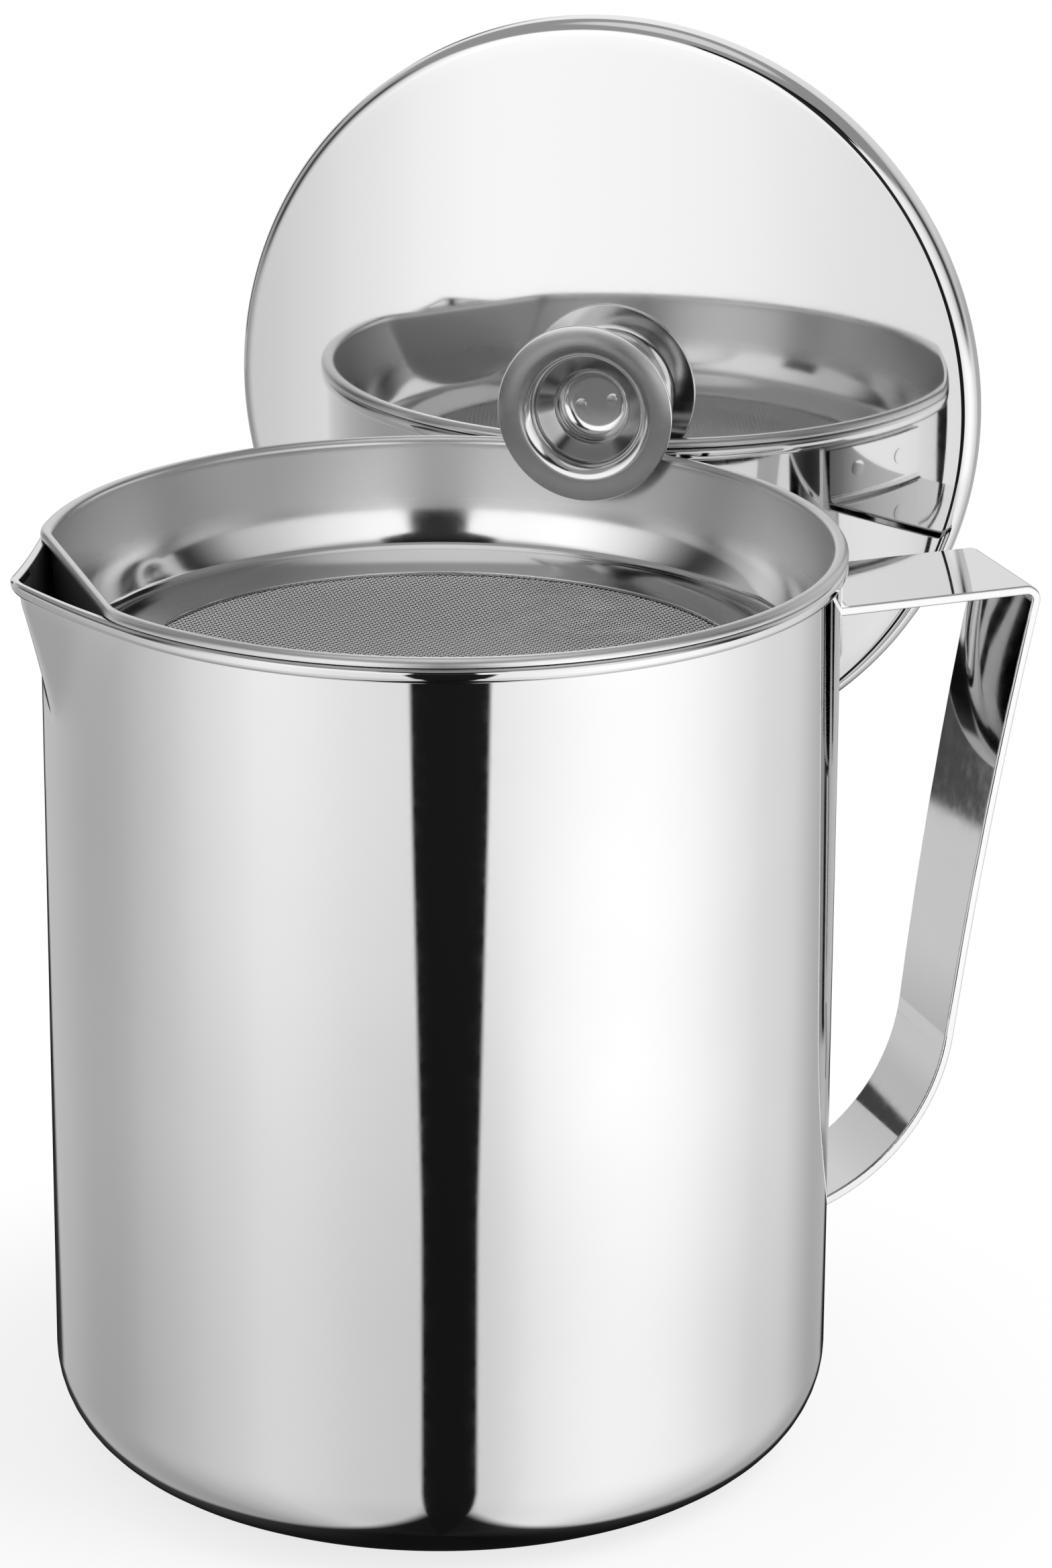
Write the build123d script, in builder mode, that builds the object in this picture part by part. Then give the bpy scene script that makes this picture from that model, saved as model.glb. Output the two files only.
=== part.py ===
"""Bacon grease container: a drawn steel jug with a strap handle, a strainer bowl and a lid.

Millimetres. The origin is the centre of the base on the surface that it stands on, +Z up,
the handle along +X and the pouring spout along -X. The strainer sits in the jug's mouth.
The lid hangs behind the jug, with the neck of its knob resting on the rim.
"""
from build123d import *

import os
from math import acos, cos, degrees, radians, sin, tan

# ---- Driving dimensions -----------------------------------------------------------------
# Jug body
body_radius = 61.7          # outside of the wall
body_wall = 0.6             # sheet thickness
body_base_corner = 15.5     # outside radius between base and wall
rim_height = 146.0          # top of the rolled bead above the base
bead_height = 2.3
bead_proud = 1.0            # how far the bead stands out from the wall
bead_round = 0.9            # upper and lower edge of the bead

# Pouring spout, pressed out of the wall along -X
spout_reach = 5.5           # how far the wall stands out at the tip
spout_rise = 1.3            # how far the rim climbs to the tip
spout_rise_length = 9.5     # length over which it climbs
spout_depth = 23.0          # height over which the spout runs out into the wall
spout_tip_round = 5.5       # rounding of the V at the rim
spout_foot_round = 16.0     # rounding of the V where it runs out
spout_fall = 1.2            # how the reach falls off downwards, 1 is a straight edge
spout_embed = 0.018         # keeps the spout's run-out just inside the wall
spout_steps = [0.0, 0.1, 0.3, 0.6, 1.0]

# Handle, a strap that narrows towards its foot
strap_thickness = 1.5
strap_top_width = 23.7
strap_foot_width = 17.3
strap_drop = 12.0           # upper face of the run below the rim, at the wall
strap_rise = 0.65           # how far the run climbs towards the corner
strap_reach = 35.1          # outer corner from the wall
strap_corner_round = 2.5
strap_bow = 0.8             # how far the grip bows in towards the jug
grip_foot_reach = 22.7      # from the wall to where the grip runs into the foot bend
grip_drop = 75.0            # from the run down to the foot bend
foot_bend_radius = 33.6
strap_edge_round = 0.35
flange_gap = 0.3            # between the top flange and the bead
flange_bend = 1.3           # inside radius where the strap turns into a flange
foot_flange_height = 12.0
weld_gap = 0.02             # solder-thin gap between pieces that are welded together

# Spot welds on the flanges
weld_radius = 1.4
weld_height = 0.3
weld_spread = 5.5           # each weld from the flange's middle

# Strainer
strainer_clearance = 0.35   # between its wall and the inside of the jug
strainer_seat_gap = 0.25    # between its lip and the jug's bead
strainer_wall = 0.5
lip_height = 1.25
lip_outer_round = 0.75
lip_inner_round = 0.7
lip_cut = 4.65              # how far the straight lip at the spout lies inside the round one
lip_turn = 178.0            # degrees, the middle of the straight lip from the handle's line
lip_narrowing = 0.65        # width of the straight lip as a share of the round one's
lip_corner_round = 14.0
bowl_depth = 17.8           # from the top of the lip to the foot of the wall, inside
bowl_taper = 3.95           # how far the wall's foot lies inside its top
bowl_bulge = 0.8            # how far the wall bows outwards between lip and foot
bowl_corner_round = 1.6
floor_width = 9.0           # from the wall's foot to the clear opening over the mesh
floor_fall = 1.3            # from the wall's foot to the edge of the opening
floor_edge_round = 0.2
mesh_thickness = 0.45
mesh_margin = 1.6           # mesh that is trapped beyond the opening
mesh_turn = -6.0            # degrees, the lines of the mesh from the handle's line
mesh_bar = 2.9              # bars of the plain grid that stands in for the woven wires
mesh_openings = 11          # openings across the grid
clamp_thickness = 0.5
clamp_width = 3.6

# Lid cover
cover_inset = 0.4           # from the outside of the lip to the cover's skirt
cover_wall = 0.6
cover_crown = 2.1           # centre of the face above its edge
cover_edge_round = 1.5
cover_skirt = 5.8           # from the edge of the face to the end of the skirt
cover_hem = 2.2             # width of the turned-in hem
cover_hem_round = 0.9

# Knob, a pressed cup with a wide flange
knob_height = 8.5
knob_wall = 0.6
knob_flange_radius = 14.65
knob_throat_radius = 8.9    # straight ring under the flange
knob_throat_round = 2.4     # rounding from the flange into the ring
knob_step_height = 5.6      # where the ring meets the cone under it
knob_step_round = 0.7
knob_neck_radius = 6.55     # outside of the neck, where it hangs on the rim
knob_neck_height = 3.6
knob_neck_bend = 1.2        # inside radius where the neck turns into the cone
knob_floor_round = 0.8
knob_edge_round = 0.25
knob_weld_radius = 0.95
knob_weld_height = 0.2
knob_weld_spread = 2.7      # each weld from the cup's centre
knob_weld_turn = 103.0      # degrees, the line of the two welds from upright

# How the lid hangs
hang_angle = 47.9           # degrees round from the handle, where the knob sits on the rim
hang_yaw = 7.0              # degrees that the cover is turned from square to the rim
hang_gap = 0.4              # between the cover's face and the rim
hang_clearance = 0.2        # between the knob's neck and the lip

# ---- Sizes that follow ------------------------------------------------------------------
body_inner = body_radius - body_wall
bead_radius = body_radius + bead_proud
bead_base = rim_height - bead_height
bead_tip = bead_radius + spout_reach
rise_start = bead_tip - spout_rise_length

flange_radius = body_radius + weld_gap + strap_thickness
flange_top = bead_base - flange_gap
strap_top_z = rim_height - strap_drop
grip_foot_z = strap_top_z - grip_drop
strap_corner_x = body_radius + strap_reach
grip_foot_x = body_radius + grip_foot_reach

lip_chord = bead_radius - lip_cut
lip_base = rim_height + strainer_seat_gap
lip_top = lip_base + lip_height
strainer_radius = body_inner - strainer_clearance
bowl_radius = strainer_radius - strainer_wall
bowl_foot_radius = bowl_radius - bowl_taper
bowl_foot_z = lip_top - bowl_depth
mesh_radius = bowl_foot_radius - floor_width
floor_under_z = bowl_foot_z - floor_fall - strainer_wall
mesh_base = floor_under_z - mesh_thickness

cover_radius = bead_radius - cover_inset

# Place of the lid: its face stands upright and looks at the jug's axis
cover_offset = bead_radius + hang_gap
cover_azimuth = radians(hang_angle + hang_yaw)
face_away = Vector(cos(cover_azimuth), sin(cover_azimuth), 0)
face_across = Vector(sin(cover_azimuth), -cos(cover_azimuth), 0)
hang_height = lip_top + hang_clearance + knob_neck_radius
lid_centre = (
    face_away * cover_offset
    + face_across * cover_offset * tan(radians(hang_yaw))
    + Vector(0, 0, hang_height)
)
lid_axis = Axis(lid_centre, -face_away)
# Section plane of the lid: x runs up from the lid's axis, y points the way its face looks
lid_section = Plane(origin=lid_centre, x_dir=(0, 0, 1), z_dir=face_across)
# Plane of the face: x runs up, and the outward normal is the way its face looks
lid_face = Plane(origin=lid_centre, x_dir=(0, 0, 1), z_dir=-face_away)


def radial_plane(turn, height):
    """Upright plane through the jug's axis that looks outwards at a turn from the handle."""
    return Plane(origin=(0, 0, height), x_dir=(0, 0, 1), z_dir=(cos(turn), sin(turn), 0))


def spout_height(share):
    """Height of the spout's section, from its run-out at share 0 to the rim at share 1."""
    return rim_height - spout_depth * (1 - share)


def spout_section(share, skin):
    """Plan of the spout at one height, moved inwards by skin.

    Two flat flanks leave the round wall as tangents and meet in a rounded tip. The section
    runs back to the jug's axis, so that it joins the round wall whole.
    """
    wall_radius = body_radius - spout_embed - skin
    tip_round = spout_foot_round + (spout_tip_round - spout_foot_round) * share - skin
    tip_centre = wall_radius + spout_reach * share**spout_fall + spout_embed / 2 - tip_round
    half_angle = acos((wall_radius - tip_round) / tip_centre)
    toward_tip = cos(half_angle)
    across = sin(half_angle)
    wall_point = (-wall_radius * toward_tip, wall_radius * across)
    tip_point = (-tip_centre - tip_round * toward_tip, tip_round * across)
    tip = (-tip_centre - tip_round, 0)
    with BuildSketch() as section:
        with BuildLine():
            Line((0, 0), wall_point)
            Line(wall_point, tip_point)
            ThreePointArc(tip_point, tip, (tip_point[0], -tip_point[1]))
            Line((tip_point[0], -tip_point[1]), (wall_point[0], -wall_point[1]))
            Line((wall_point[0], -wall_point[1]), (0, 0))
        make_face()
    return section.sketch


def mouth_plan(inset):
    """Plan of the strainer's lip: a circle cut straight across at the spout, moved inwards."""
    with BuildSketch() as plan:
        Circle(bead_radius - inset)
        with PolarLocations(lip_chord - inset * lip_narrowing, 1, start_angle=lip_turn):
            beyond_chord = (Align.MIN, Align.CENTER)
            Rectangle(bead_radius, 2 * bead_radius, align=beyond_chord, mode=Mode.SUBTRACT)
        fillet(plan.vertices(), radius=lip_corner_round - inset)
    return plan.sketch


def bowl_section(skin):
    """Half section of the bowl, closed to the jug's axis, grown outwards by skin."""
    top = (bowl_radius + skin, lip_base)
    foot = (bowl_foot_radius + skin, bowl_foot_z - skin)
    floor = (mesh_radius, bowl_foot_z - floor_fall - skin)
    with BuildSketch() as section:
        with BuildLine():
            SagittaArc(foot, top, bowl_bulge)
            Line(top, (0, lip_base))
            Line((0, lip_base), (0, floor[1]))
            Line((0, floor[1]), floor)
            Line(floor, foot)
        make_face()
        fillet(section.vertices().sort_by_distance(foot)[0], radius=bowl_corner_round + skin)
    return section.sketch


def floor_under(radius):
    """Height of the underside of the bowl's sloping floor at a radius."""
    fall = floor_fall / (bowl_foot_radius + strainer_wall - mesh_radius)
    return floor_under_z + fall * (radius - mesh_radius)


# ---- Jug body ---------------------------------------------------------------------------
with BuildPart() as jug_cavity:
    with BuildSketch(Plane.XY.offset(body_wall)):
        Circle(body_inner)
    extrude(amount=rim_height)
    fillet(jug_cavity.edges().group_by(Axis.Z)[0], radius=body_base_corner - body_wall)
    for share in spout_steps:
        with BuildSketch(Plane.XY.offset(spout_height(share))):
            add(spout_section(share, body_wall))
    loft()
    with BuildSketch(Plane.XY.offset(rim_height)):
        add(spout_section(1, body_wall))
    extrude(amount=bead_height)

with BuildPart() as rim_bead:
    with BuildSketch(Plane.XY.offset(bead_base)):
        Circle(body_radius)
        add(spout_section(1, 0))
        offset(amount=bead_proud)
    extrude(amount=bead_height + spout_rise)
    # Side view: the bead is level round the jug and climbs to the tip of the spout
    with BuildSketch(Plane.XZ):
        with BuildLine():
            under = Line((bead_radius, bead_base), (-rise_start, bead_base))
            under_tip = TangentArc(under @ 1, (-bead_tip, bead_base + spout_rise), tangent=(-1, 0))
            over = Line((bead_radius, rim_height), (-rise_start, rim_height))
            over_tip = TangentArc(over @ 1, (-bead_tip, rim_height + spout_rise), tangent=(-1, 0))
            Line(under @ 0, over @ 0)
            Line(under_tip @ 1, over_tip @ 1)
        make_face()
    extrude(amount=bead_radius, both=True, mode=Mode.INTERSECT)
    # Its curved edges are the outer ones: the corners and the crease at the climb are straight
    fillet(rim_bead.edges().filter_by(GeomType.LINE, reverse=True), radius=bead_round)

with BuildPart() as jug_body:
    with BuildSketch():
        Circle(body_radius)
    extrude(amount=rim_height)
    fillet(jug_body.edges().group_by(Axis.Z)[0], radius=body_base_corner)
    for share in spout_steps:
        with BuildSketch(Plane.XY.offset(spout_height(share))):
            add(spout_section(share, 0))
    loft()
    add(rim_bead.part)
    add(jug_cavity.part, mode=Mode.SUBTRACT)

# ---- Handle -----------------------------------------------------------------------------
with BuildPart() as strap:
    # Side view: top run, bowed grip and foot bend, all bent from one thickness
    with BuildSketch(Plane.XZ) as strap_side:
        with BuildLine():
            run = Line((body_inner, strap_top_z), (strap_corner_x, strap_top_z + strap_rise))
            grip = SagittaArc(run @ 1, (grip_foot_x, grip_foot_z), -strap_bow)
            foot_start = acos(-(grip % 1).Y)
            foot_end = acos(-(grip % 1).Y - grip_foot_reach / foot_bend_radius)
            foot = JernArc(grip @ 1, grip % 1, foot_bend_radius, degrees(foot_start - foot_end))
            offset(amount=strap_thickness, side=Side.RIGHT)
        make_face()
        inner_corner = (run @ 1) - Vector(strap_thickness, strap_thickness)
        fillet(
            strap_side.vertices().sort_by_distance(inner_corner)[0],
            radius=strap_corner_round - strap_thickness,
        )
        fillet(strap_side.vertices().sort_by_distance(run @ 1)[0], radius=strap_corner_round)
    extrude(amount=strap_top_width / 2, both=True)
    # Front view: the strap narrows from the bead to the foot
    foot_flange_base = (foot @ 1).Y - foot_flange_height
    with BuildSketch(Plane.YZ.offset(body_inner / 2)) as strap_front:
        with BuildLine():
            Polyline(
                (-strap_top_width / 2, flange_top),
                (strap_top_width / 2, flange_top),
                (strap_foot_width / 2, foot_flange_base),
                (-strap_foot_width / 2, foot_flange_base),
                close=True,
            )
        make_face()
    extrude(amount=body_radius + strap_reach, mode=Mode.INTERSECT)
    long_edges = strap.edges().filter_by(
        lambda edge: abs((edge @ 0.5).Y) > strap_foot_width / 2 and edge.length > 2 * strap_edge_round
    )
    fillet(long_edges, radius=strap_edge_round)

with BuildPart() as weld_flanges:
    # A band that follows the wall, with the inside of the bend above the run
    with BuildSketch(Plane.XY.offset(foot_flange_base)):
        Circle(flange_radius)
        Circle(flange_radius - strap_thickness, mode=Mode.SUBTRACT)
    extrude(amount=flange_top - foot_flange_base)
    bend_end = (flange_radius + flange_bend, strap_top_z)
    bend_top = (flange_radius, strap_top_z + flange_bend)
    with BuildSketch(Plane.XZ):
        with BuildLine():
            Polyline(
                bend_top,
                (flange_radius - strap_thickness, strap_top_z + flange_bend),
                (flange_radius - strap_thickness, strap_top_z),
                bend_end,
            )
            RadiusArc(bend_end, bend_top, flange_bend)
        make_face()
    revolve(axis=Axis.Z)
    with BuildSketch(Plane.YZ.offset(body_inner / 2)):
        add(strap_front.sketch_local)
    extrude(amount=body_radius, mode=Mode.INTERSECT)
    # Only the stretches above the run and below the foot stay
    foot_flange_top = (foot @ 1).Y + strap_thickness
    with BuildSketch(Plane.XY.offset(foot_flange_top)):
        with Locations((flange_radius, 0)):
            Rectangle(flange_radius, flange_radius)
    extrude(amount=strap_top_z - strap_thickness - foot_flange_top, mode=Mode.SUBTRACT)

with BuildPart() as jug_handle:
    add(strap.part)
    with BuildSketch():
        Circle(flange_radius - strap_thickness)
    extrude(amount=rim_height, mode=Mode.SUBTRACT)
    add(weld_flanges.part)

# Spot welds on the outside of both flanges, side by side
top_weld_z = (strap_top_z + flange_bend + flange_top) / 2
foot_weld_z = foot_flange_base + foot_flange_height / 2
weld_turn = weld_spread / flange_radius
with BuildPart() as handle_spot_welds:
    for weld_z in [top_weld_z, foot_weld_z]:
        for turn in [-weld_turn, weld_turn]:
            with BuildSketch(radial_plane(turn, weld_z).offset(flange_radius + weld_gap)):
                Circle(weld_radius)
            extrude(amount=weld_height)

# ---- Strainer ---------------------------------------------------------------------------
with BuildPart() as bowl_cavity:
    with BuildSketch(Plane.XZ):
        add(bowl_section(0))
    revolve(axis=Axis.Z)
    with BuildSketch(Plane.XY.offset(floor_under_z)):
        add(mouth_plan(bead_radius - bowl_radius))
    extrude(amount=lip_base - floor_under_z, mode=Mode.INTERSECT)

with BuildPart() as curled_lip:
    with BuildSketch(Plane.XY.offset(lip_base)):
        add(mouth_plan(0))
        add(mouth_plan(bead_radius - bowl_radius), mode=Mode.SUBTRACT)
    extrude(amount=lip_height)
    lip_face = curled_lip.faces().sort_by(Axis.Z)[-1]
    fillet(lip_face.outer_wire().edges(), radius=lip_outer_round)
    lip_face = curled_lip.faces().sort_by(Axis.Z)[-1]
    fillet(lip_face.inner_wires()[0].edges(), radius=lip_inner_round)

with BuildPart() as strainer_bowl:
    with BuildSketch(Plane.XZ):
        add(bowl_section(strainer_wall))
    revolve(axis=Axis.Z)
    with BuildSketch(Plane.XY.offset(floor_under_z)):
        add(mouth_plan(bead_radius - strainer_radius))
    extrude(amount=lip_base - floor_under_z, mode=Mode.INTERSECT)
    add(bowl_cavity.part, mode=Mode.SUBTRACT)
    add(curled_lip.part)
    with BuildSketch(Plane.XY.offset(floor_under_z)):
        Circle(mesh_radius)
    extrude(amount=bowl_depth, mode=Mode.SUBTRACT)
    floor_edge = (mesh_radius, 0, floor_under_z + strainer_wall)
    bowl_circles = strainer_bowl.edges().filter_by(GeomType.CIRCLE)
    fillet(bowl_circles.sort_by_distance(floor_edge)[0], radius=floor_edge_round)

with BuildPart() as strainer_mesh:
    with BuildSketch(Plane.XY.offset(mesh_base)):
        Circle(mesh_radius + mesh_margin)
    extrude(amount=mesh_thickness)
    # Plain grid of square openings, with a whole rim round them
    mesh_step = 2 * mesh_radius / mesh_openings
    with BuildSketch(Plane.XY.offset(mesh_base).rotated((0, 0, mesh_turn))):
        with GridLocations(mesh_step, mesh_step, mesh_openings, mesh_openings):
            Rectangle(mesh_step - mesh_bar, mesh_step - mesh_bar)
        Circle(mesh_radius - mesh_bar, mode=Mode.INTERSECT)
    extrude(amount=mesh_thickness, mode=Mode.SUBTRACT)

# Ring that traps the mesh: flat under the wires, with an outer lip up to the bowl's floor
with BuildPart() as mesh_clamp_ring:
    lip_start = mesh_radius + mesh_margin + weld_gap
    lip_end = mesh_radius + clamp_width
    with BuildSketch(Plane.XZ):
        with BuildLine():
            Polyline(
                (mesh_radius, mesh_base),
                (mesh_radius, mesh_base - clamp_thickness),
                (lip_end, mesh_base - clamp_thickness),
                (lip_end, floor_under(lip_end) - weld_gap),
                (lip_start, floor_under(lip_start) - weld_gap),
                (lip_start, mesh_base),
                close=True,
            )
        make_face()
    revolve(axis=Axis.Z)

# ---- Lid --------------------------------------------------------------------------------
with BuildPart() as lid_cover:
    with BuildSketch(lid_section):
        with BuildLine() as cover_line:
            crown = TangentArc((0, 0), (cover_radius, -cover_crown), tangent=(1, 0))
            skirt = Line(crown @ 1, (cover_radius, -cover_crown - cover_skirt))
            Line(skirt @ 1, (cover_radius - cover_hem, -cover_crown - cover_skirt))
            fillet(cover_line.vertices().sort_by_distance(skirt @ 0)[0], radius=cover_edge_round)
            fillet(cover_line.vertices().sort_by_distance(skirt @ 1)[0], radius=cover_hem_round)
            offset(amount=cover_wall, side=Side.RIGHT)
        make_face()
    revolve(axis=lid_axis)

with BuildPart() as lid_knob:
    neck_inside = knob_neck_radius - knob_wall
    with BuildSketch(lid_section):
        with BuildLine():
            FilletPolyline(
                (0, knob_wall),
                (neck_inside, knob_wall),
                (neck_inside, knob_neck_height),
                (knob_throat_radius, knob_step_height),
                (knob_throat_radius, knob_height),
                (knob_flange_radius, knob_height),
                radius=[knob_floor_round, knob_neck_bend, knob_step_round, knob_throat_round],
            )
            offset(amount=knob_wall, side=Side.RIGHT)
        make_face()
    revolve(axis=lid_axis)
    knob_circles = lid_knob.edges().filter_by(GeomType.CIRCLE)
    flange_rim = knob_circles.filter_by(lambda edge: edge.radius > knob_flange_radius - knob_edge_round)
    fillet(flange_rim, radius=knob_edge_round)

with BuildPart() as knob_spot_welds:
    with BuildSketch(lid_face.offset(knob_wall + weld_gap)):
        with PolarLocations(knob_weld_spread, 2, start_angle=knob_weld_turn):
            Circle(knob_weld_radius)
    extrude(amount=knob_weld_height)

# ---- Files ------------------------------------------------------------------------------
jug_body.part.label = "jug_body"
jug_handle.part.label = "jug_handle"
handle_spot_welds.part.label = "handle_spot_welds"
strainer_bowl.part.label = "strainer_bowl"
strainer_mesh.part.label = "strainer_mesh"
mesh_clamp_ring.part.label = "mesh_clamp_ring"
lid_cover.part.label = "lid_cover"
lid_knob.part.label = "lid_knob"
knob_spot_welds.part.label = "knob_spot_welds"

os.makedirs("parts", exist_ok=True)
export_step(jug_body.part, "parts/jug_body.step")
export_step(jug_handle.part, "parts/jug_handle.step")
export_step(handle_spot_welds.part, "parts/handle_spot_welds.step")
export_step(strainer_bowl.part, "parts/strainer_bowl.step")
export_step(strainer_mesh.part, "parts/strainer_mesh.step")
export_step(mesh_clamp_ring.part, "parts/mesh_clamp_ring.step")
export_step(lid_cover.part, "parts/lid_cover.step")
export_step(lid_knob.part, "parts/lid_knob.step")
export_step(knob_spot_welds.part, "parts/knob_spot_welds.step")
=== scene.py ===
"""Bacon grease container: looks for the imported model, with a camera, a floor and studio light."""

from math import acos, atan2, cos, pi, radians, sin, sqrt, tan

import bmesh
import bpy
from mathutils import Matrix, Vector


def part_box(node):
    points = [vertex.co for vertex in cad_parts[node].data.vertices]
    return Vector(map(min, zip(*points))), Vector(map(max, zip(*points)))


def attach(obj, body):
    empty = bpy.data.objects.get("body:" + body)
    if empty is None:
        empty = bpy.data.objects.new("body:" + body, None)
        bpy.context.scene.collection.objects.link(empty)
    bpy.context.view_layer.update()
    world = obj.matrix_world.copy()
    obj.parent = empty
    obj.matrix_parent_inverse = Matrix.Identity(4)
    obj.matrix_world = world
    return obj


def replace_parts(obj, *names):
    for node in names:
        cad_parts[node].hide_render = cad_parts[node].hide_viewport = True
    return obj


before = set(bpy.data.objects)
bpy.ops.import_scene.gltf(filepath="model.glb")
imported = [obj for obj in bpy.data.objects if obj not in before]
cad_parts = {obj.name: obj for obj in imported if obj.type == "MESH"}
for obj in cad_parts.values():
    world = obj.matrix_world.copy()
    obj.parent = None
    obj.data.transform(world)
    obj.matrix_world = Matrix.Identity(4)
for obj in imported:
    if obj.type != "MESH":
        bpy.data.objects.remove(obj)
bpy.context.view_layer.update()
scene = bpy.context.scene
MM = 0.001

# ---- Camera -----------------------------------------------------------------------------
CAMERA_AZIMUTH = radians(-19.3)    # round the jug from the side opposite +Y
CAMERA_ELEVATION = radians(18.53)
CAMERA_ROLL = 0.0057
CAMERA_DISTANCE = 0.875
CAMERA_TARGET = Vector((0.01252, -0.00439, 0.10785))
CAMERA_SENSOR = 36.0
CAMERA_LENS = 128.67
CAMERA_NEAR = 0.01
CAMERA_FAR = 50.0


def place_camera():
    """Long lens that looks a little down on the front of the jug."""
    data = bpy.data.cameras.new("camera")
    data.sensor_width = CAMERA_SENSOR
    data.lens = CAMERA_LENS
    data.clip_start = CAMERA_NEAR
    data.clip_end = CAMERA_FAR
    camera = bpy.data.objects.new("camera", data)
    turn = (
        Matrix.Rotation(CAMERA_AZIMUTH, 4, "Z")
        @ Matrix.Rotation(pi / 2 - CAMERA_ELEVATION, 4, "X")
        @ Matrix.Rotation(CAMERA_ROLL, 4, "Z")
    )
    away = Vector((
        sin(CAMERA_AZIMUTH) * cos(CAMERA_ELEVATION),
        -cos(CAMERA_AZIMUTH) * cos(CAMERA_ELEVATION),
        sin(CAMERA_ELEVATION),
    ))
    camera.matrix_world = Matrix.Translation(CAMERA_TARGET + away * CAMERA_DISTANCE) @ turn
    scene.collection.objects.link(camera)
    scene.camera = camera


# ---- Node helpers -----------------------------------------------------------------------
class Nodes:
    """Short calls that add and wire the nodes of one tree."""

    def __init__(self, tree):
        self.tree = tree

    def add(self, kind, **values):
        """A node of that kind. Values name its properties, or else its inputs."""
        node = self.tree.nodes.new(kind)
        for key, value in values.items():
            if hasattr(node, key):
                setattr(node, key, value)
            else:
                node.inputs[key].default_value = value
        return node

    def wire(self, source, target):
        self.tree.links.new(source, target)

    def feed(self, operand, target):
        """Gives an input its operand, which is a number or an output."""
        if isinstance(operand, (int, float)):
            target.default_value = operand
        else:
            self.wire(operand, target)

    def math(self, operation, *operands):
        """One Math node."""
        node = self.add("ShaderNodeMath", operation=operation)
        for operand, target in zip(operands, node.inputs):
            self.feed(operand, target)
        return node.outputs[0]

    def times(self, first, second):
        return self.math("MULTIPLY", first, second)

    def most(self, first, second):
        return self.math("MAXIMUM", first, second)

    def distance(self, value, centre):
        """How far a value is from a centre, to either side."""
        return self.math("ABSOLUTE", self.math("SUBTRACT", value, centre))

    def span(self, value, low, high, start, end, smooth=True):
        """Map Range: value from low..high to start..end."""
        shape = "SMOOTHSTEP" if smooth else "LINEAR"
        node = self.add("ShaderNodeMapRange", interpolation_type=shape)
        for operand, target in zip([value, low, high, start, end], node.inputs):
            self.feed(operand, target)
        return node.outputs[0]

    def ramp(self, value, stops):
        """Colour ramp of greys, from (place, grey) stops."""
        node = self.add("ShaderNodeValToRGB")
        band = node.color_ramp
        band.interpolation = "CARDINAL" if len(stops) > 4 else "EASE"
        band.elements[0].position = stops[0][0]
        band.elements[1].position = stops[-1][0]
        for place, _ in stops[1:-1]:
            band.elements.new(place)
        for element, (_, grey) in zip(band.elements, stops):
            element.color = (grey, grey, grey, 1.0)
        self.wire(value, node.inputs[0])
        return node.outputs[0]

    def blend(self, factor, first, second):
        """Mix of two numbers by a factor."""
        node = self.add("ShaderNodeMix", data_type="FLOAT")
        for operand, place in zip([factor, first, second], [0, 2, 3]):
            self.feed(operand, node.inputs[place])
        return node.outputs[0]


# ---- Light ------------------------------------------------------------------------------
# The metal reflects a studio. A direction in it has an azimuth, round from the camera's side,
# and a rise, which is the sine of its angle above eye level. Tones are brightnesses.

# Tones by degrees of azimuth, below eye level
STUDIO_LOW = [
    (-180, 0.56), (-142, 0.57), (-120, 0.51), (-100, 0.59), (-78, 0.82), (-58, 1.03),
    (-44, 1.09), (-22, 0.99), (5, 0.98), (35, 1.22), (60, 1.32), (84, 1.17), (104, 0.95),
    (126, 0.79), (145, 0.5), (180, 0.56),
]
# The same above eye level
STUDIO_HIGH = [
    (-180, 0.9), (-150, 0.8), (-130, 0.6), (-108, 0.5), (-96, 0.14), (-84, 0.14), (-70, 0.72),
    (-50, 1.12), (-24, 1.12), (0, 1.1), (25, 1.12), (48, 1.0), (70, 0.66), (84, 0.12),
    (97, 0.12), (112, 0.56), (180, 0.9),
]
EYE_LEVEL_RISE = 0.1               # the two parts blend this far to either side of eye level

# The soft boxes dim towards the floor: rise from, rise to, and the tone at the first
DIM_FRONT = (-0.46, -0.3, 0.79)
DIM_SIDES = (-0.45, -0.38, 0.88)
DIM_UNDER = (-1.0, -0.5, 0.85)
RIGHT_FROM = (0.25, 0.55)          # azimuths over which the front gives way to the sides
LEFT_FROM = (-1.75, -1.1)
BACK_WALL_AZIMUTH = (-2.1, -1.9)   # the wall behind on the left
BACK_WALL_RISE = (-0.26, -0.23)
BACK_WALL_MORE = 0.32

# Dark gap between the two soft boxes
GAP_CENTRE = radians(3.5)
GAP_WIDENS = (-0.42, -0.26)        # rises between which it goes from narrow to wide
GAP_LOWER_HALF = radians(8.0)
GAP_UPPER_HALF = radians(12.3)
GAP_EDGE = (-0.012, 0.016)
GAP_TONE = 0.012
# Above eye level
GAP_HIGH_CENTRE = radians(1.7)
GAP_HIGH_WIDENS = (0.47, 0.55)
GAP_HIGH_HALF = radians(9.3)
GAP_HIGH_TOP_HALF = radians(20.0)
GAP_HIGH_EDGE = (-0.02, 0.02)
GAP_HIGH_TONE = 0.02
GAP_HIGH_END = (0.66, 0.74)        # rises over which it closes

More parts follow.
